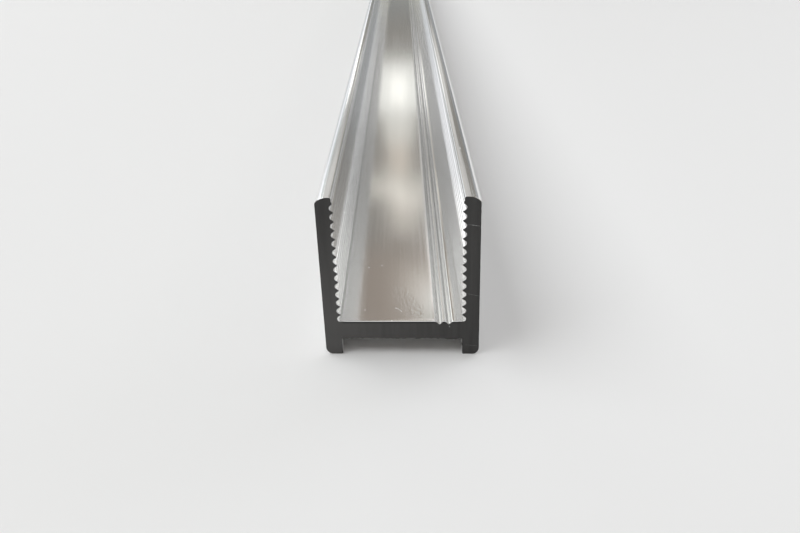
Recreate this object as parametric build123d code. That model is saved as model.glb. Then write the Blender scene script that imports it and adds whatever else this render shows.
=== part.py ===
from build123d import *
from math import radians, sqrt, tan
import os

# A length of aluminium channel extrusion, in millimetres.
# X runs across the section, Y along the bar and Z up. The origin lies under the
# middle of the bar, at the level of the feet that it stands on.

# Driving dimensions of the section
bar_length = 1000.0
overall_width = 25.0
wall_thickness = 2.8
foot_height = 3.0
web_thickness = 3.15
channel_depth = 21.35

# Crowned top of each wall
crown_radius = 2.0
crown_inset = 1.7
crown_edge_radius = 0.4
lip_height = 0.9625
lip_setback = 0.25
lip_corner_radius = 0.35
top_crest_setback = 0.13

# Bottom corners of the feet
foot_outer_radius = 1.2
foot_inner_radius = 0.3

# Round-bottomed grooves down the inner face of each wall
groove_pitch = 1.475
groove_flank_angle = 52.0
groove_bottom_radius = 0.45
crest_flat = 0.1

# Two V-shaped marking grooves in the channel floor, near one wall
mark_count = 2
mark_pitch = 1.475
mark_depth = 0.5
mark_wall_distance = 2.1
mark_root_radius = 0.1
mark_shoulder_radius = 0.3

# Sizes that follow from them
outer_x = overall_width / 2
inner_x = outer_x - wall_thickness
floor_z = foot_height + web_thickness
top_z = floor_z + channel_depth
flank_slope = tan(radians(groove_flank_angle))
groove_count = round((channel_depth - lip_height) / groove_pitch)
top_groove_z = top_z - lip_height - groove_pitch / 2
mark_centres = [inner_x - mark_wall_distance - index * mark_pitch for index in range(mark_count)]


def eased(shape, corner, radius):
    """The same outline with the corner nearest to this point rounded off."""
    return fillet(shape.vertices().sort_by_distance(corner)[0], radius)


def wall_outline():
    """One upright wall with its foot. Its lip and its blunt top crest step back from the other crests."""
    crown_x = outer_x - crown_inset
    crown_edge = (outer_x, top_z - crown_radius + sqrt(crown_radius**2 - crown_inset**2))
    lip_x = inner_x + lip_setback
    top_crest_x = inner_x + top_crest_setback
    top_crest_z = top_z - lip_height + crest_flat / 2
    with BuildSketch() as profile:
        with BuildLine():
            Polyline((inner_x, 0), (outer_x, 0), crown_edge)
            RadiusArc(crown_edge, (crown_x, top_z), -crown_radius)
            Polyline(
                (crown_x, top_z),
                (lip_x, top_z),
                (lip_x, top_crest_z + lip_setback / flank_slope),
                (top_crest_x, top_crest_z + top_crest_setback / flank_slope),
                (top_crest_x, top_groove_z),
                (inner_x, top_groove_z),
                (inner_x, 0),
            )
        make_face()
    wall = profile.sketch
    wall = eased(wall, (outer_x, 0), foot_outer_radius)
    wall = eased(wall, (inner_x, 0), foot_inner_radius)
    wall = eased(wall, crown_edge, crown_edge_radius)
    wall = eased(wall, (lip_x, top_z), lip_corner_radius)
    return wall


def groove():
    """A V with a round bottom, open towards the channel, its mouth at x = 0."""
    half_mouth = (groove_pitch - crest_flat) / 2
    overrun = half_mouth / 2
    back_half = half_mouth + overrun / flank_slope
    root = (half_mouth * flank_slope, 0)
    sharp = Polygon(root, (-overrun, back_half), (-overrun, -back_half), align=None)
    return eased(sharp, root, groove_bottom_radius)


def grooved_wall():
    """The wall with its column of grooves, counted down from the lip."""
    wall = wall_outline()
    for index in range(groove_count):
        wall -= Pos(inner_x, top_groove_z - index * groove_pitch) * groove()
    return wall


def web():
    """The channel floor, right across the section, so that it closes the walls."""
    return Pos(0, foot_height + web_thickness / 2) * Rectangle(overall_width, web_thickness)


def marking_groove():
    """A right-angled V with its root at the marking depth, open upwards from y = 0."""
    overrun = mark_depth / 2
    back_half = mark_depth + overrun
    root = (0, -mark_depth)
    sharp = Polygon(root, (back_half, overrun), (-back_half, overrun), align=None)
    return eased(sharp, root, mark_root_radius)


def marked_section():
    """Both walls and the web, less the marking grooves, whose shoulders are eased."""
    right_wall = grooved_wall()
    section = right_wall + mirror(right_wall, Plane.YZ) + web()
    for mark_x in mark_centres:
        section -= Pos(mark_x, floor_z) * marking_groove()
    for mark_x in mark_centres:
        for side in (-1, 1):
            section = eased(section, (mark_x + side * mark_depth, floor_z), mark_shoulder_radius)
    return section


section = marked_section()
bar = extrude(Plane.XZ * section, amount=bar_length / 2, both=True)
bar.label = "channel_profile"

os.makedirs("parts", exist_ok=True)
export_step(bar, "parts/channel_profile.step")
print("grooves in each wall:", groove_count)
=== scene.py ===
from math import cos, pi, radians, sin, tan

import bpy
import numpy as np
from mathutils import Matrix, Vector


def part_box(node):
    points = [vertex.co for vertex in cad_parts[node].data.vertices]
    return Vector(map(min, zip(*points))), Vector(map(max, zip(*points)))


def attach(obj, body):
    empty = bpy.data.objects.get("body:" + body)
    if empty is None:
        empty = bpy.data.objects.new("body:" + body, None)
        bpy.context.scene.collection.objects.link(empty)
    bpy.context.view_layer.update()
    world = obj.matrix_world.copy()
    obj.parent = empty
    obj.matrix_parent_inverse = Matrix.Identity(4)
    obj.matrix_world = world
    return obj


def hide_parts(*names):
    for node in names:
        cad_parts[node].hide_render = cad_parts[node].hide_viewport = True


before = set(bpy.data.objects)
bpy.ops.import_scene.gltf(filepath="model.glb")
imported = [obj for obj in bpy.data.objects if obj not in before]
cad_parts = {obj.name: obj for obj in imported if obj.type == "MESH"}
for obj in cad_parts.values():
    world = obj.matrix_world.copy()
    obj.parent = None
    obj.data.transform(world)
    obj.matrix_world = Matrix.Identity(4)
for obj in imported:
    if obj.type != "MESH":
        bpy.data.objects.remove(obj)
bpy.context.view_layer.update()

# A length of mill-finish aluminium channel, seen from its sawn end.
# The bar is one mesh: its section carried along Y, closed by two sawn faces.
# All sizes are in metres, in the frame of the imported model.

mm = 0.001

# Overall size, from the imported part, to a thousandth of a millimetre
lowest, highest = np.round(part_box("channel_profile"), 6)
overall_width, bar_length, overall_height = highest - lowest

# Section, as in the part
wall_thickness = 2.8 * mm
foot_height = 3 * mm
web_thickness = 3.15 * mm
crown_radius = 2 * mm
crown_inset = 1.7 * mm
crown_edge_radius = 0.4 * mm
lip_height = 0.9625 * mm
lip_setback = 0.25 * mm
lip_corner_radius = 0.35 * mm
top_crest_setback = 0.13 * mm
foot_outer_radius = 1.2 * mm
foot_inner_radius = 0.3 * mm
groove_pitch = 1.475 * mm
groove_flank_angle = 52
groove_bottom_radius = 0.45 * mm
crest_flat = 0.1 * mm
mark_count = 2
mark_pitch = 1.475 * mm
mark_depth = 0.5 * mm
mark_wall_distance = 2.1 * mm
mark_root_radius = 0.1 * mm

# Worn edges. The part has the marking grooves a little narrower, and the other edges here sharp.
crest_edge_radius = 0.1 * mm
under_web_radius = 0.15 * mm
mark_half_width = 0.58 * mm
mark_shoulder_radius = 0.18 * mm
mark_outer_radius = 0.6 * mm

# The floor's shallow dip beside the marking grooves
mark_dish_width = 0.6 * mm
mark_dish_depth = 0.02 * mm
mark_dish_radius = 6 * mm

# Sizes that follow
outer_x = overall_width / 2
inner_x = outer_x - wall_thickness
floor_z = foot_height + web_thickness
top_z = overall_height
flank_slope = tan(radians(groove_flank_angle))
half_mouth = (groove_pitch - crest_flat) / 2
groove_count = round((top_z - lip_height - floor_z) / groove_pitch)
top_groove_z = top_z - lip_height - groove_pitch / 2
groove_centres = top_groove_z - np.arange(groove_count) * groove_pitch
mark_centres = inner_x - mark_wall_distance - np.arange(mark_count) * mark_pitch
crown_end_x = outer_x - crown_inset
lip_x = inner_x + lip_setback
top_middle_x = (crown_end_x + lip_x + lip_corner_radius) / 2

# How finely the outline is divided, and how far a side turns before its edge stays sharp
arc_step = radians(11)
crown_steps = 14
longest_side = 0.22 * mm
sharp_angle = radians(24)

# Where the skin's rings lie: a few close behind each cut, the others at their distance from either end
behind_cut = np.array([0.08, 0.18, 0.35, 0.7]) * mm
from_end = np.array([1.4, 3, 6, 12, 25, 50, 90, 150, 250, 400]) * mm
from_end = from_end[from_end < bar_length / 2]
stations = np.concatenate([from_end, bar_length - from_end[::-1]])

# The saw cuts lie a burr's height inside the bar's length. The near one is a little off square.
near_y = -bar_length / 2
far_y = bar_length / 2
burr_room = 0.12 * mm
saw_skew = radians(2.68)

# Points closer than this lie on the same face, and the floor counts as flat within this band
touching = 0.001 * mm
floor_band = 0.015 * mm

# Width of the burr's face, the strip of the cut beside the edge, and what widens it
outer_face = 0.15 * mm
outer_face_change = 0.03 * mm
channel_face = 0.015 * mm
mark_face = 0.03 * mm
floor_face_gain = 0.02 * mm
groove_face_gain = 0.15
deepest_face = 0.5 * mm
scrap_face_gain = 0.1 * mm

# How far the edge slopes back along the bar behind the burr
outer_chamfer = 0.03 * mm
channel_chamfer = 0.01 * mm
floor_chamfer_gain = 0.02 * mm

# How far the burr stands out of the cut and hangs past the section, and the waves of its ragged stretches
ragged_stand = 0.1 * mm
web_hang = 0.03 * mm
ragged_hang = 0.2 * mm
floor_hang = 0.07 * mm
fine_wave = 0.35 * mm
coarse_wave = 1.3 * mm

# Where the burr is raised or hangs, it stays clear of the walls by this margin. The other two are the
# lengths that it takes to grow to its full hang under the web, and to fade from the skin behind the cut.
wall_margin = 0.4 * mm
web_growth = 1 * mm
hang_fade = 0.15 * mm

# Shares of the burr's face that its crest is set in by, and of its hang that the skin keeps at its foot
crest_inset_share = 0.35
skin_hang_share = 0.6

# How dark the painted shadow along the burr's rim is on the sawn faces
groove_rim_shade = 0.8
left_rim_shade = 1.0
right_rim_shade = 0.5

# Painted shade and highlight of the ribs and the floor: the distances over which they fade, and the
# shade's strength where it is below 1
crest_fade = 0.1 * mm
root_depth = 0.12 * mm
mark_fade = 0.06 * mm
edge_width = 0.16 * mm
edge_fade = 0.2 * mm
right_crest_shade = 0.8
left_edge_shade = 0.7


def corners(x, z, radius):
    """Rows of (x, z, rounding radius), one for each corner of an outline."""
    return np.stack(np.broadcast_arrays(np.asarray(x, float), z, radius), -1).reshape(-1, 3)


def foot_corners():
    """The right foot from the web's underside round to its outer corner."""
    return np.concatenate([
        corners(inner_x, foot_height, under_web_radius),
        corners(inner_x, 0, foot_inner_radius),
        corners(outer_x, 0, foot_outer_radius),
    ])


def crown_corners():
    """The crown from the outer face to the flat top: even steps of angle on a circle whose centre lies
    under the crown's inner end, one radius below the top."""
    first = np.arccos(crown_inset / crown_radius)
    angle = np.linspace(first, np.pi / 2, crown_steps)
    radius = np.zeros(crown_steps)
    radius[0] = crown_edge_radius
    return corners(
        crown_end_x + crown_radius * np.cos(angle),
        top_z - crown_radius + crown_radius * np.sin(angle),
        radius,
    )


def lip_corners():
    """The lip and the blunt top crest, which both step back from the other crests."""
    top_crest_x = inner_x + top_crest_setback
    top_crest_z = top_z - lip_height + crest_flat / 2
    return np.concatenate([
        corners(lip_x, top_z, lip_corner_radius),
        corners(lip_x, top_crest_z + lip_setback / flank_slope, 0),
        corners(top_crest_x, top_crest_z + top_crest_setback / flank_slope, crest_edge_radius),
    ])


def groove_corners():
    """Every groove as three corners, mouth, root and mouth, from the top one down. The top one's upper
    flank ends at the blunt crest, and the lowest one's lower flank runs on to the floor."""
    root_x = inner_x + half_mouth * flank_slope
    upper = corners(inner_x, groove_centres + half_mouth, crest_edge_radius)
    root = corners(root_x, groove_centres, groove_bottom_radius)
    lower = corners(inner_x, groove_centres - half_mouth, crest_edge_radius)
    upper[0, :2] += top_crest_setback, -top_crest_setback / flank_slope
    to_floor = floor_z - lower[-1, 1]
    lower[-1] += to_floor * flank_slope, to_floor, -crest_edge_radius
    return np.stack([upper, root, lower], 1).reshape(-1, 3)


def mark_corners():
    """The marking grooves from right to left, each as shoulder, root and shoulder. The two shoulders
    farthest apart are worn rounder, and the floor dips a little towards them."""
    right = corners(mark_centres + mark_half_width, floor_z, mark_shoulder_radius)
    root = corners(mark_centres, floor_z - mark_depth, mark_root_radius)
    left = corners(mark_centres - mark_half_width, floor_z, mark_shoulder_radius)
    for outer_shoulder in (right[0], left[-1]):
        outer_shoulder[1:] = floor_z - mark_dish_depth, mark_outer_radius
    return np.concatenate([
        corners(right[0, 0] + mark_dish_width, floor_z, mark_dish_radius),
        np.stack([right, root, left], 1).reshape(-1, 3),
        corners(left[-1, 0] - mark_dish_width, floor_z, mark_dish_radius),
    ])


def mirrored(right_side):
    """The same corners on the left, in the opposite order."""
    return right_side[::-1] * (-1, 1, 1)


def rounded(rows):
    """Each corner replaced by an arc that touches both its sides. The arc's centre lies on the
    corner's bisector at radius / sin(half angle), and its points turn evenly about that centre."""
    at, radius = rows[:, :2], rows[:, 2]
    back = np.roll(at, 1, 0) - at
    ahead = np.roll(at, -1, 0) - at
    back /= np.linalg.norm(back, axis=1, keepdims=True)
    ahead /= np.linalg.norm(ahead, axis=1, keepdims=True)
    half = np.arccos(np.clip((back * ahead).sum(1), -1, 1)) / 2
    bisector = back + ahead
    almost_nothing = 1e-9
    bisector /= np.maximum(np.linalg.norm(bisector, axis=1, keepdims=True), almost_nothing)
    centre = at + bisector * (radius / np.sin(half))[:, None]
    start = at + back * (radius / np.tan(half))[:, None] - centre
    turn = np.pi - 2 * half
    side = np.sign(back[:, 0] * ahead[:, 1] - back[:, 1] * ahead[:, 0])
    steps = np.where(radius > 0, np.maximum(np.ceil(turn / arc_step), 2), 0).astype(int)
    count = steps + 1
    which = np.repeat(np.arange(len(rows)), count)
    share = np.arange(count.sum()) - np.repeat(np.cumsum(count) - count, count)
    share = share / np.maximum(steps, 1)[which]
    angle = -side[which] * turn[which] * share
    from_centre = start[which]
    turned = np.stack([
        from_centre[:, 0] * np.cos(angle) - from_centre[:, 1] * np.sin(angle),
        from_centre[:, 0] * np.sin(angle) + from_centre[:, 1] * np.cos(angle),
    ], 1)
    return centre[which] + turned


def divided(outline):
    """The outline with each side that is longer than longest_side cut into equal steps."""
    ahead = np.roll(outline, -1, 0) - outline
    steps = np.maximum(np.ceil(np.linalg.norm(ahead, axis=1) / longest_side), 1).astype(int)
    which = np.repeat(np.arange(len(outline)), steps)
    share = (np.arange(steps.sum()) - np.repeat(np.cumsum(steps) - steps, steps)) / steps[which]
    return outline[which] + ahead[which] * share[:, None]


def section_outline():
    """The section's outline as points (x, z), anticlockwise as seen from the near end."""
    right_wall = np.concatenate([foot_corners(), crown_corners(), lip_corners(), groove_corners()])
    return divided(rounded(np.concatenate([right_wall, mark_corners(), mirrored(right_wall)])))


def outward(outline):
    """The outline's normals, pointing out of the metal: the mean of both sides' normals."""
    side = np.roll(outline, -1, 0) - outline
    normal = np.stack([side[:, 1], -side[:, 0]], 1)
    normal /= np.linalg.norm(normal, axis=1, keepdims=True)
    normal = normal + np.roll(normal, 1, 0)
    return normal / np.linalg.norm(normal, axis=1, keepdims=True)


def distance_round(outline):
    """How far each point lies from the first one, measured along the outline."""
    sides = np.linalg.norm(np.diff(outline, axis=0), axis=1)
    return np.concatenate([[0], np.cumsum(sides)])


def smooth_noise(places, spacing, seed):
    """Values from -1 to 1 that change smoothly along a closed outline: random values at even steps,
    joined by cosine curves."""
    rng = np.random.default_rng(seed)
    length = places[-1] + places[1]
    count = int(length / spacing)
    values = rng.uniform(-1, 1, count)
    at = places / length * count
    first = np.floor(at).astype(int) % count
    blend = (1 - np.cos(np.pi * (at % 1))) / 2
    return values[first] * (1 - blend) + values[(first + 1) % count] * blend


def near_plane(x):
    """Y of the near cut: a plane turned about the upright line through its right edge, so that its left
    side lies further back."""
    return near_y + burr_room + (outer_x - x) * tan(saw_skew)


def far_plane(x):
    """Y of the far cut, which is square."""
    return np.full(len(x), far_y - burr_room)


class Burr:
    """What the saw left along one cut edge, for each point of the outline: the width of its face, how far
    it slopes back, stands out and hangs, where it is sawn, and where shade is painted on it."""

    def __init__(self, outline, run, seed):
        """The points are told apart by where they lie. The ragged stretches follow the mean of a fine
        and a coarse noise where it is above 0, and the floor's front edge is raised evenly."""
        x = np.abs(outline[:, 0])
        above_floor = outline[:, 1] - floor_z
        channel = (x < top_middle_x) & (above_floor > -mark_depth)
        marked = channel & (above_floor < -floor_band)
        grooved = channel & (above_floor > floor_band)
        from_walls = inner_x - wall_margin - x
        front_edge = (channel & ~marked & ~grooved) * np.clip(from_walls / wall_margin, 0, 1)
        below_web = np.abs(outline[:, 1] - foot_height) < touching
        under_web = below_web * np.clip(from_walls / web_growth, 0, 1)
        into_groove = np.clip(x - inner_x, 0, deepest_face)
        fine = smooth_noise(run, fine_wave, seed)
        coarse = smooth_noise(run, coarse_wave, seed + 1)
        ragged = np.clip((fine + coarse) / 2, 0, 1)
        self.face = np.select(
            [marked, grooved, channel],
            [
                mark_face,
                channel_face + groove_face_gain * into_groove,
                channel_face + floor_face_gain * front_edge,
            ],
            outer_face + outer_face_change * fine,
        )
        self.chamfer = np.where(channel, channel_chamfer + floor_chamfer_gain * front_edge, outer_chamfer)
        self.stand = np.where(channel, 0, ragged_stand * ragged)
        self.hang = under_web * (web_hang + ragged_hang * ragged) + floor_hang * front_edge
        # Painted shade: the burr under the web is painted dark where it lies in shade
        self.burr_shade = under_web
        self.sawn = ~channel | grooved
        # Painted shadow along the burr's rim on the sawn faces
        kinds = [under_web > 0, grooved, outline[:, 0] < 0]
        self.painted_shade = np.select(kinds, [0.0, groove_rim_shade, left_rim_shade], right_rim_shade) * self.sawn

    def scrap(self, outline, x, z, reach, stand, hang=0.0):
        """A torn scrap at one point of the edge: a bump of height exp(-(distance / reach) squared)."""
        here = np.exp(-((outline[:, 0] - x)**2 + (outline[:, 1] - z)**2) / reach**2)
        self.face += scrap_face_gain * here
        self.stand = np.minimum(self.stand + stand * here, burr_room)
        self.hang += hang * here


def near_burr(outline, run):
    """The near cut's burr, with the torn scraps that show: two on the right wall's outer edge, the lower
    one where a scratch ends, one under the web, and one inside each foot."""
    burr = Burr(outline, run, seed=3)
    burr.scrap(outline, outer_x, 22.79 * mm, reach=0.2 * mm, stand=0.1 * mm)
    burr.scrap(outline, outer_x, 25.65 * mm, reach=0.15 * mm, stand=0.08 * mm)
    burr.scrap(outline, 8.1 * mm, foot_height, reach=1.1 * mm, stand=0.04 * mm, hang=0.22 * mm)
    burr.scrap(outline, inner_x, 1.98 * mm, reach=0.2 * mm, stand=0.1 * mm, hang=0.16 * mm)
    burr.scrap(outline, -inner_x, 0.35 * mm, reach=0.22 * mm, stand=0.1 * mm, hang=0.08 * mm)
    return burr


def ring(place, y):
    """The points of one ring at this Y, none of them below the ground."""
    return np.stack([place[:, 0], np.broadcast_to(y, len(place)), np.maximum(place[:, 1], 0)], 1)


def moved(outline, normal, distance):
    """The outline moved out of the metal by a distance for each point."""
    return outline + normal * distance[:, None]


def end_rings(outline, normal, burr, plane, outward_y):
    """Three rings at one cut: a flat one inside the outline, the burr's crest, and its slope's foot.
    plane gives Y of the cut for each X; outward_y is the Y direction out of the bar."""
    def at_cut(hang, stand):
        place = moved(outline, normal, hang)
        return ring(place, plane(place[:, 0]) + outward_y * stand)

    flat = at_cut(-burr.face, 0)
    crest = at_cut(burr.hang - crest_inset_share * burr.face, burr.stand)
    foot = at_cut(skin_hang_share * burr.hang, -burr.chamfer)
    return [flat, crest, foot]


def skin_rings(outline, normal, burr, first_y, outward_y):
    """The rings close behind one cut, nearest first. They still hang a little with the burr's foot, by
    the share exp(-distance / hang_fade)."""
    def behind(distance):
        hang = skin_hang_share * burr.hang * np.exp(-distance / hang_fade)
        return ring(moved(outline, normal, hang), first_y - outward_y * distance)

    return [behind(distance) for distance in behind_cut]


def bar_rings(outline, near_edge, far_edge):
    """Every ring from the near cut to the far one. Each ring of the skin is the outline at one station,
    its Y measured as a share of the way between the near cut and the far end."""
    normal = outward(outline)
    start = near_plane(outline[:, 0])
    rings = end_rings(outline, normal, near_edge, near_plane, -1)
    rings += skin_rings(outline, normal, near_edge, start + near_edge.chamfer, -1)
    rings += [ring(outline, start + (far_y - start) * share) for share in stations / bar_length]
    rings += skin_rings(outline, normal, far_edge, far_y - burr_room, 1)[::-1]
    rings += end_rings(outline, normal, far_edge, far_plane, 1)[::-1]
    return rings


def bar_faces(count, ring_count):
    """Four-sided faces between each ring and the next, and one face that closes each end."""
    here = np.arange(count)
    there = np.roll(here, -1)
    ring_start = np.arange(ring_count - 1)[:, None] * count
    next_start = ring_start + count
    quads = np.stack([ring_start + here, ring_start + there, next_start + there, next_start + here], -1)
    near_end = here[::-1]
    far_end = here + (ring_count - 1) * count
    return quads.reshape(-1, 4).tolist() + [near_end.tolist(), far_end.tolist()]


def bar_mesh():
    """The whole bar. Its first material is the skin, and the second one, the sawn face, covers the ends
    and the burr's face wherever that counts as sawn."""
    outline = section_outline()
    run = distance_round(outline)
    near_edge = near_burr(outline, run)
    far_edge = Burr(outline, run, seed=11)
    rings = bar_rings(outline, near_edge, far_edge)
    faces = bar_faces(len(outline), len(rings))
    mesh = bpy.data.meshes.new("extruded_bar")
    mesh.from_pydata(np.concatenate(rings), [], faces)
    count = len(outline)
    ends = [-2, -1]
    sawn = np.zeros(len(faces), np.int32)
    sawn[:count] = near_edge.sawn
    sawn[-count - len(ends):-len(ends)] = far_edge.sawn
    sawn[ends] = 1
    smooth = np.ones(len(faces), bool)
    smooth[ends] = False
    mesh.polygons.foreach_set("material_index", sawn)
    mesh.polygons.foreach_set("use_smooth", smooth)
    add_burr_shade(mesh, near_edge, far_edge, len(rings))
    add_map(mesh, run)
    add_painted_light(mesh, outline)
    mesh.validate()
    mesh.set_sharp_from_angle(angle=sharp_angle)
    return mesh


def add_map(mesh, run):
    """The piece's own map: u is the distance round the section, v the distance along the bar."""
    count = len(mesh.vertices)
    place = np.empty(count * 3)
    mesh.vertices.foreach_get("co", place)
    round_section = np.tile(run, count // len(run))
    corner = np.empty(len(mesh.loops), np.int32)
    mesh.loops.foreach_get("vertex_index", corner)
    uv = np.stack([round_section[corner], place[1::3][corner] - near_y], 1)
    mesh.uv_layers.new(name="across_and_along").uv.foreach_set("vector", uv.astype(np.float32).ravel())


def add_attribute(mesh, name, values):
    """One value for each point. Values given for a single ring are repeated for all of them."""
    everywhere = np.tile(values, len(mesh.vertices) // len(values)).astype(np.float32)
    mesh.attributes.new(name, "FLOAT", "POINT").data.foreach_set("value", everywhere)


def add_burr_shade(mesh, near_edge, far_edge, ring_count):
    """An attribute of painted shade on the burr. From the burr's foot on, it is 1 where the burr under the
    web lies in shade, and falls to 0 along the next few rings. On the burr's crest it is how dark the
    painted shadow along the sawn faces' rim is."""
    burr_shade = np.zeros((ring_count, len(near_edge.burr_shade)))
    for edge, from_cut in ((near_edge, burr_shade), (far_edge, burr_shade[::-1])):
        crest, foot, first_behind, second_behind = from_cut[1:5]
        crest += edge.painted_shade
        foot += edge.burr_shade
        first_behind += edge.burr_shade
        second_behind += edge.burr_shade / 2
    add_attribute(mesh, "burr_shade", burr_shade.ravel())


def add_painted_light(mesh, outline):
    """Painted shade and a painted highlight on the ribs and the floor. The first attribute, painted shade
    that
    also dulls: 1 on the left wall's crests and a little less on the right wall's, falling to 0 a little
    way down their flanks, and in part along the floor's left edge at the wall's foot. Attribute 'root', a
    painted
    highlight: growing from the crests to 1 in the grooves. The last attribute, painted shade: growing to 1
    just inside the marking grooves."""
    x, z = outline.T
    on_left = x < 0
    from_crest = np.abs(x) - inner_x
    on_ribs = (z > floor_z + floor_band) & (z < top_z - lip_height + crest_flat)
    on_ribs &= (from_crest > -touching) & (from_crest < half_mouth * flank_slope)
    # Painted shade: darker crests stand in for the shade lines between the ribs
    crest = on_ribs * np.clip(1 - from_crest / crest_fade, 0, 1) * np.where(on_left, 1, right_crest_shade)
    beside_wall = np.clip((from_crest + edge_width) / edge_fade, 0, 1)
    # Painted shade in the corner at the left wall's foot
    left_edge = (np.abs(z - floor_z) < touching) * on_left * beside_wall * left_edge_shade
    below_dip = floor_z - mark_dish_depth - z
    in_marks = (np.abs(x) < inner_x) & (below_dip < mark_depth)
    add_attribute(mesh, "shade_and_dull", np.maximum(crest, left_edge))
    # Painted highlight: the grooves between the ribs paler
    add_attribute(mesh, "root", on_ribs * np.clip((from_crest - crest_fade) / root_depth, 0, 1))
    # Painted shade inside the marking grooves
    add_attribute(mesh, "mark_shade", in_marks * np.clip(below_dip / mark_fade, 0, 1))


class Nodes:
    """A short way to add nodes to a material and join them."""

    def __init__(self, material):
        material.use_nodes = True
        self.tree = material.node_tree
        self.tree.nodes.clear()
        self.output = self.add("ShaderNodeOutputMaterial")
        self.place = self.add("ShaderNodeTexCoord").outputs["Object"]

    def add(self, kind, values=None, **settings):
        """A node with these settings, and a value or another node's socket for each named input."""
        node = self.tree.nodes.new(kind)
        for name, value in settings.items():
            setattr(node, name, value)
        for name, value in (values or {}).items():
            self.put(node.inputs[name], value)
        return node

    def put(self, socket, value):
        if isinstance(value, bpy.types.NodeSocket):
            self.tree.links.new(value, socket)
        else:
            socket.default_value = value

    def math(self, operation, *values):
        node = self.add("ShaderNodeMath", operation=operation)
        for socket, value in zip(node.inputs, values):
            self.put(socket, value)
        return node.outputs[0]

    def times(self, first, second):
        return self.math("MULTIPLY", first, second)

    def total(self, *values):
        """The sum of all the values."""
        result = values[0]
        for value in values[1:]:
            result = self.math("ADD", result, value)
        return result

    def either(self, *masks):
        """The largest of the masks."""
        result = masks[0]
        for mask in masks[1:]:
            result = self.math("MAXIMUM", result, mask)
        return result

    def attribute(self, name):
        return self.add("ShaderNodeAttribute", attribute_name=name).outputs["Fac"]

    def noise(self, x, y, z, detail, turn=0.0):
        """Noise whose features are about this big along each axis, turned about Z by some degrees."""
        mapping = self.add("ShaderNodeMapping", {
            "Vector": self.place,
            "Scale": (x, y, z),
            "Rotation": (0, 0, radians(turn)),
        }, vector_type="TEXTURE")
        noise = self.add("ShaderNodeTexNoise", {
            "Vector": mapping.outputs[0],
            "Scale": 1.0,
            "Detail": detail,
            "Roughness": 0.55,
        })
        return noise.outputs[0]

    def remap(self, value, low, high, to_low, to_high):
        """The range from low to high moved to the one from to_low to to_high, and cut off at its ends."""
        node = self.add("ShaderNodeMapRange", {
            "Value": value,
            "From Min": low,
            "From Max": high,
            "To Min": to_low,
            "To Max": to_high,
        })
        return node.outputs[0]

    def spread(self, noise, to_low, to_high):
        """The middle range of a noise, where most of its values lie, moved to this one."""
        return self.remap(noise, 0.3, 0.7, to_low, to_high)

    def distance(self, point):
        """The distance from this point."""
        node = self.add("ShaderNodeVectorMath", {0: self.place, 1: point}, operation="DISTANCE")
        return node.outputs["Value"]

    def spot(self, point, reach):
        """1 at this point, falling to 0 at this distance from it."""
        return self.remap(self.distance(point), reach / 2, reach, 1.0, 0.0)

    def needle(self, start, end, width):
        """1 along a thin ellipse of this width with its focal points at both ends: there the two distances
        add up to hardly more than the length between them."""
        length = (Vector(end) - Vector(start)).length
        excess = width**2 / (2 * length)
        both = self.total(self.distance(start), self.distance(end))
        return self.remap(both, length + excess / 3, length + excess, 1.0, 0.0)

    def mix(self, factor, first, second):
        """A blend of two colours. The Mix node takes them at inputs 6 and 7 and gives it at output 2."""
        node = self.add("ShaderNodeMix", {"Factor": factor}, data_type="RGBA")
        self.put(node.inputs[6], first)
        self.put(node.inputs[7], second)
        return node.outputs[2]

    def bump(self, height):
        """A relief whose height is given in metres."""
        values = {"Strength": 1.0, "Distance": 1.0, "Height": height}
        return self.add("ShaderNodeBump", values).outputs[0]

    def finish(self, **values):
        """The surface, with its sockets named by keywords such as base_color."""
        sockets = {name.replace("_", " ").title(): value for name, value in values.items()}
        shader = self.add("ShaderNodeBsdfPrincipled", sockets)
        self.tree.links.new(shader.outputs[0], self.output.inputs[0])


def grey(level, warmth=0.0):
    """A grey of this level, redder and less blue by the share warmth."""
    return (level * (1 + warmth), level, level * (1 - warmth), 1)


def behind_near_cut(x, y, z):
    """A point this far behind the middle of the near cut, all three in millimetres."""
    return (x * mm, near_plane(0) + y * mm, z * mm)


def on_floor(x, y):
    """A point of the channel's floor, this far behind the near cut, in millimetres."""
    return behind_near_cut(x, y, floor_z / mm)


def on_cut(x, z):
    """A point of the near cut, in millimetres."""
    return (x * mm, near_plane(x * mm), z * mm)


def curl(nodes):
    """A fine curl of swarf on the floor: three needles end to end, each thinner than the one before."""
    return nodes.either(
        nodes.needle(on_floor(-1.08, 4.45), on_floor(-0.72, 4.3), 0.13 * mm),
        nodes.needle(on_floor(-0.72, 4.3), on_floor(-0.2, 3.8), 0.1 * mm),
        nodes.needle(on_floor(-0.2, 3.8), on_floor(0.12, 3.04), 0.08 * mm),
    )


def specks(nodes):
    """Six specks: four on the floor, one on the left wall's ribs and one on top of the right wall."""
    return nodes.either(
        nodes.spot(on_floor(-5.91, 19.69), 0.16 * mm),
        nodes.spot(on_floor(-3.54, 20.46), 0.13 * mm),
        nodes.spot(on_floor(-6.0, 4.0), 0.12 * mm),
        nodes.spot(on_floor(-1.55, 0.35), 0.12 * mm),
        nodes.spot(behind_near_cut(-9.8, 30.2, 23), 0.25 * mm),
        nodes.spot(behind_near_cut(10.88, 22.7, top_z / mm), 0.2 * mm),
    )


def scuffs(nodes):
    """Slanting ripples, from -0.5 to 0.5, in faint broad patches of the skin and in one strong patch of
    the floor near the cut."""
    ripple = nodes.noise(0.3 * mm, 0.75 * mm, 0.3 * mm, detail=2, turn=-24)
    patches = nodes.noise(7 * mm, 30 * mm, 7 * mm, detail=1)
    scuffed = nodes.either(
        nodes.remap(patches, 0.56, 0.76, 0.0, 0.4),
        nodes.needle(on_floor(-1.2, 12), on_floor(3.2, 1.5), 4.5 * mm),
    )
    return nodes.times(nodes.math("SUBTRACT", ripple, 0.5), scuffed)


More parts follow.
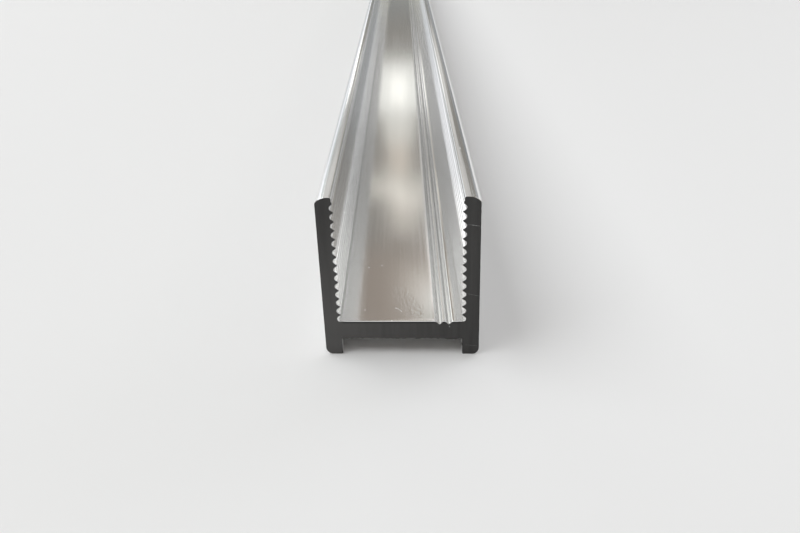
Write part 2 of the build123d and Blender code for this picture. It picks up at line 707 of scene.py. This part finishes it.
def extruded_skin():
    """Bright mill finish. Die lines run the whole length as streaks in tone, gloss and relief. Painted
    shade darkens the ribs' crests, the floor's left edge and the marking grooves, and the crests and the
    floor's edge are also rougher. A painted highlight makes the grooves between the ribs a little paler.
    Painted shade makes the burr dark under the web and along its rim, and rougher there. It is scuffed in
    patches, and a little pale dust lies near the cut."""
    material = bpy.data.materials.new("mill_finish_skin")
    nodes = Nodes(material)
    die_lines = nodes.noise(0.28 * mm, 70 * mm, 0.28 * mm, detail=4)
    broad_bands = nodes.noise(1.7 * mm, 260 * mm, 1.7 * mm, detail=2)
    dust = nodes.either(curl(nodes), specks(nodes))
    shade_and_dull = nodes.attribute("shade_and_dull")
    burr_shade = nodes.attribute("burr_shade")
    tone = nodes.total(nodes.spread(die_lines, -0.35, 0.35), nodes.spread(broad_bands, 0.1, 0.9))
    # Painted shade on the ribs' crests and the floor's left edge
    metal = nodes.mix(shade_and_dull, nodes.mix(tone, grey(0.92), grey(0.96)), grey(0.58))
    # Painted highlight in the grooves between the ribs
    metal = nodes.mix(nodes.attribute("root"), metal, grey(0.98))
    # Painted shade inside the marking grooves
    metal = nodes.mix(nodes.attribute("mark_shade"), metal, grey(0.8))
    relief = nodes.total(
        nodes.times(die_lines, 0.0026 * mm),
        nodes.times(scuffs(nodes), 0.016 * mm),
        nodes.times(dust, 0.012 * mm),
    )
    roughness = nodes.total(
        nodes.spread(die_lines, 0.105, 0.135),
        nodes.times(shade_and_dull, 0.06),
        nodes.times(burr_shade, 0.35),
        nodes.times(dust, 0.4),
    )
    across = nodes.add("ShaderNodeTangent", direction_type="UV_MAP", uv_map="across_and_along")
    nodes.finish(
        # Painted shade makes the burr dark under the web and along its rim; the dust is pale
        base_color=nodes.mix(dust, nodes.mix(burr_shade, metal, grey(0.12)), grey(0.95)),
        metallic=nodes.remap(dust, 0.0, 1.0, 0.95, 0.0),
        roughness=roughness,
        anisotropic=0.55,
        tangent=across.outputs[0],
        normal=nodes.bump(relief),
    )
    return material


def cut_scratches(nodes):
    """Dotted scratches across the right wall, the lower two fainter, and one bright spot in the web."""
    dots = nodes.remap(nodes.noise(0.25 * mm, 50 * mm, 0.25 * mm, detail=1), 0.4, 0.6, 0.1, 1.0)
    lines = nodes.either(
        nodes.needle(on_cut(10.46, 23.01), on_cut(12.4, 22.7), 0.1 * mm),
        nodes.times(nodes.needle(on_cut(10.29, 11.24), on_cut(12.32, 10.78), 0.1 * mm), 0.35),
        nodes.times(nodes.needle(on_cut(10.2, 1.75), on_cut(12.2, 1.6), 0.1 * mm), 0.25),
    )
    return nodes.either(nodes.times(lines, dots), nodes.spot(on_cut(7.71, 5.21), 0.11 * mm))


def shadow_under_floor(nodes):
    """Painted shadow of the burr: nearly 1 just under the floor's edge, falling to 0 by 0.4 mm below it
    and towards the walls.
    """
    parts = nodes.add("ShaderNodeSeparateXYZ", {0: nodes.place}).outputs
    return nodes.times(
        nodes.remap(parts["Z"], floor_z - 0.4 * mm, floor_z - 0.15 * mm, 0.0, 0.9),
        nodes.remap(nodes.math("ABSOLUTE", parts["X"]), inner_x - 0.5 * mm, inner_x, 1.0, 0.0),
    )


def sawn_face():
    """The sawn ends: matt dark grey, a painted shade that stands in for the shade falling on the ends, a
    little paler towards the left foot, with faint upright marks of the saw, grain and scratches, and
    darker along the burr's rim and under the floor's edge, a painted shadow of the burr."""
    material = bpy.data.materials.new("sawn_face")
    nodes = Nodes(material)
    saw_marks = nodes.noise(0.9 * mm, 50 * mm, 14 * mm, detail=2)
    grain = nodes.noise(0.12 * mm, 50 * mm, 0.5 * mm, detail=3)
    pale = nodes.remap(nodes.distance(on_cut(-13, 2)), 3 * mm, 23 * mm, 1.0, 0.0)
    tone = nodes.total(
        nodes.spread(saw_marks, 0.0, 0.3),
        nodes.spread(grain, 0.0, 0.2),
        nodes.times(pale, 0.9),
    )
    # Painted shade: this dark grey stands in for the shade on the ends; bare sawn aluminium is paler
    metal = nodes.mix(tone, grey(0.042, 0.02), grey(0.092, 0.02))
    metal = nodes.mix(cut_scratches(nodes), metal, grey(0.4))
    # Painted shadow along the burr's rim and under the floor's edge
    painted_shade = nodes.either(nodes.attribute("burr_shade"), shadow_under_floor(nodes))
    nodes.finish(
        base_color=nodes.mix(painted_shade, metal, grey(0.01)),
        metallic=0.6,
        roughness=nodes.spread(grain, 0.44, 0.54),
        normal=nodes.bump(nodes.times(grain, 0.0015 * mm)),
    )
    return material


def pale_floor():
    """A plain square floor, many times as wide as the bar is long."""
    half = 6.0
    square = [(-half, -half, 0), (half, -half, 0), (half, half, 0), (-half, half, 0)]
    mesh = bpy.data.meshes.new("floor")
    mesh.from_pydata(square, [], [(0, 1, 2, 3)])
    material = bpy.data.materials.new("floor_paint")
    Nodes(material).finish(base_color=grey(0.78), roughness=0.8)
    mesh.materials.append(material)
    floor = bpy.data.objects.new("floor", mesh)
    bpy.context.scene.collection.objects.link(floor)


def soft_box(name, azimuth, elevation, brightness, tint=(1, 1, 1), distance=4.0):
    """A rectangular lamp that fills these two ranges of degrees, seen from the channel's floor near the
    sawn end. Azimuth grows to the right of the bar's far end. The lamp's power is brightness * pi * area,
    which makes it look as bright as a white card lit to that brightness."""
    width = 2 * distance * tan(radians(azimuth[1] - azimuth[0]) / 2)
    height = 2 * distance * tan(radians(elevation[1] - elevation[0]) / 2)
    data = bpy.data.lights.new(name, "AREA")
    data.shape = "RECTANGLE"
    data.size = width
    data.size_y = height
    data.energy = brightness * pi * width * height
    data.color = tint
    around, above = radians(sum(azimuth) / 2), radians(sum(elevation) / 2)
    away = Vector((sin(around) * cos(above), cos(around) * cos(above), sin(above)))
    seen_from = Vector((0, near_y + 60 * mm, floor_z))
    lamp = bpy.data.objects.new(name, data)
    lamp.location = seen_from + away * distance
    lamp.rotation_euler = away.to_track_quat("Z", "Y").to_euler()
    lamp.visible_camera = False
    bpy.context.scene.collection.objects.link(lamp)


def studio_world():
    """A plain sky in four bands of height above the horizon, in degrees, each blending into the next."""
    bands = (
        (0, 7.5, (0.226, 0.236, 0.242)),
        (8.5, 24, (0.216, 0.204, 0.184)),
        (26, 43, (0.274, 0.233, 0.197)),
        (47, 90, (0.288, 0.288, 0.288)),
    )
    edges = [(height, colour) for low, high, colour in bands for height in (low, high)]
    world = bpy.data.worlds.new("studio")
    world.use_nodes = True
    tree = world.node_tree
    direction = tree.nodes.new("ShaderNodeTexCoord").outputs["Generated"]
    parts = tree.nodes.new("ShaderNodeSeparateXYZ")
    ramp = tree.nodes.new("ShaderNodeValToRGB")
    stops = ramp.color_ramp.elements
    while len(stops) < len(edges):
        stops.new(0.5)
    for stop, (height, colour) in zip(stops, edges):
        stop.position = sin(radians(height))
        stop.color = (*colour, 1)
    background = tree.nodes["Background"]
    background.inputs["Strength"].default_value = 1.0
    tree.links.new(direction, parts.inputs[0])
    tree.links.new(parts.outputs["Z"], ramp.inputs[0])
    tree.links.new(ramp.outputs[0], background.inputs["Color"])
    bpy.context.scene.world = world


def boxes_around():
    """Large soft boxes on both sides and behind the camera."""
    soft_box("left_side", (-120, -60), (35, 75), 3.0, (0.97, 0.99, 1), distance=2.6)
    soft_box("right_side", (60, 120), (35, 75), 0.9, (0.97, 1, 1), distance=2.6)
    soft_box("top_back", (160, 200), (45, 80), 0.6, distance=2.6)
    soft_box("right_side_low", (34, 60), (1, 30), 2.21, (0.87, 0.89, 1))


def boxes_ahead():
    """Small boxes beyond the far end, over the bar's own direction. The floor mirrors them, and the
    higher one is, the nearer to the cut its reflection lies."""
    soft_box("far_band", (-3, 1.6), (11, 14.8), 0.74, (0.98, 1, 0.96))
    soft_box("far_core", (-1.1, 0.1), (12, 14.2), 0.43, (1, 0.95, 0.88))
    soft_box("far_tail", (-1.7, 0.6), (15, 17.2), 0.49, (1, 1, 0.93))
    soft_box("far_tip", (-1.4, 0.2), (17.2, 19.6), 0.43, (1, 0.85, 0.7))
    soft_box("horizon", (-4.5, 4.5), (0, 5), 0.5, (1, 0.94, 0.5))
    soft_box("beside_marks_low", (2, 4.5), (9, 18), 0.43)
    soft_box("beside_marks_high", (2, 4.5), (18, 26), 0.34)
    soft_box("middle_left", (-3.2, -0.6), (19.8, 21.2), 0.58, (1, 0.97, 0.88))
    soft_box("middle_band", (-1, 1.8), (19.8, 22.2), 0.35, (1, 0.98, 0.88))
    soft_box("middle_tail", (-1.4, 0.8), (21, 24.3), 0.36, (1, 0.92, 0.82))
    soft_box("near_glow", (-0.9, 3.2), (26.4, 30.3), 0.15, (1, 0.96, 0.86))
    soft_box("near_inner", (0.4, 3.4), (27.5, 31), 0.24)
    soft_box("near_patch", (1.6, 3.6), (28.5, 34), 0.25, (0.8, 1, 1))


def boxes_ahead_left():
    """Boxes beyond the far end, to the left of the bar's direction, edge to edge."""
    soft_box("left_high", (-34, -20), (13, 30), 1.15, (0.97, 1, 0.97))
    soft_box("left_edge", (-34, -26), (0.5, 13), 1.05)
    soft_box("left_edge_band", (-26, -20), (9, 13), 1.32)
    soft_box("left_edge_low", (-26, -20), (0.5, 9), 0.76, (0.96, 0.97, 1))
    soft_box("left_top", (-20, -14), (18, 30), 1.2, (0.95, 1, 0.98))
    soft_box("left_blue_high", (-20, -14), (13, 18), 0.49, (0.9, 0.97, 1))
    soft_box("left_blue", (-20, -9), (9, 13), 0.5, (0.82, 0.93, 1))
    soft_box("left_low", (-20, -4.5), (5, 9), 0.77, (0.97, 0.97, 1))
    soft_box("left_lowest", (-20, -4.5), (0.5, 5), 0.42, (0.93, 0.96, 1))
    soft_box("left_far", (-9, -4.5), (9, 13), 1.49)
    soft_box("left_middle", (-14, -4.5), (13, 18), 0.23, (0.93, 0.98, 1))
    soft_box("left_middle_high", (-14, -4.5), (18, 24), 0.4)


def boxes_ahead_right():
    """Boxes beyond the far end, to the right of the bar's direction, with dark gaps between them."""
    soft_box("right_high", (20, 34), (13, 30), 0.92)
    soft_box("right_top", (14, 20), (18, 30), 1.27, (0.93, 1, 0.99))
    soft_box("right_top_inner", (4.5, 14), (24, 30), 0.75)
    soft_box("right_edge", (26, 34), (0.5, 13), 1.4)
    soft_box("right_edge_low", (20, 26), (0.5, 9), 0.1)
    soft_box("right_far", (4.5, 9), (9, 13), 0.2)
    soft_box("right_middle", (4.5, 9), (18, 24), 0.26)
    soft_box("right_low", (4.5, 14), (0.5, 9), 0.08)


def photo_camera():
    """The photograph's camera, found from the section's edges: above the near end, looking down along
    the bar. Its focal length is in pixels of the photograph."""
    photo_width = 800
    focal_length = 757.5
    pitch, yaw, roll = radians(26.521), radians(0.8078), radians(-1.8237)
    aside, before_cut, height = 1.5484 * mm, 104.8492 * mm, 68.3493 * mm
    forward = Vector((-sin(yaw) * cos(pitch), cos(yaw) * cos(pitch), -sin(pitch)))
    level = Vector((cos(yaw), sin(yaw), 0))
    upright = level.cross(forward)
    right = level * cos(roll) + upright * sin(roll)
    up = right.cross(forward)
    turn = Matrix((right, up, -forward)).transposed().to_4x4()
    data = bpy.data.cameras.new("camera")
    data.sensor_width = 36
    data.lens = focal_length / photo_width * data.sensor_width
    data.clip_start = 5 * mm
    camera = bpy.data.objects.new("camera", data)
    camera.matrix_world = Matrix.Translation((aside, near_plane(0) - before_cut, height)) @ turn
    bpy.context.scene.collection.objects.link(camera)
    bpy.context.scene.camera = camera


photo_camera()

mesh = bar_mesh()
mesh.materials.append(extruded_skin())
mesh.materials.append(sawn_face())
bar = bpy.data.objects.new("extruded_bar", mesh)
bpy.context.scene.collection.objects.link(bar)
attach(bar, "root")
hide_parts("channel_profile")

pale_floor()
studio_world()
boxes_around()
boxes_ahead()
boxes_ahead_left()
boxes_ahead_right()
bpy.context.scene.view_settings.view_transform = "Standard"

# A ray meets the channel's two mirroring walls many times
bpy.context.scene.cycles.glossy_bounces = 12
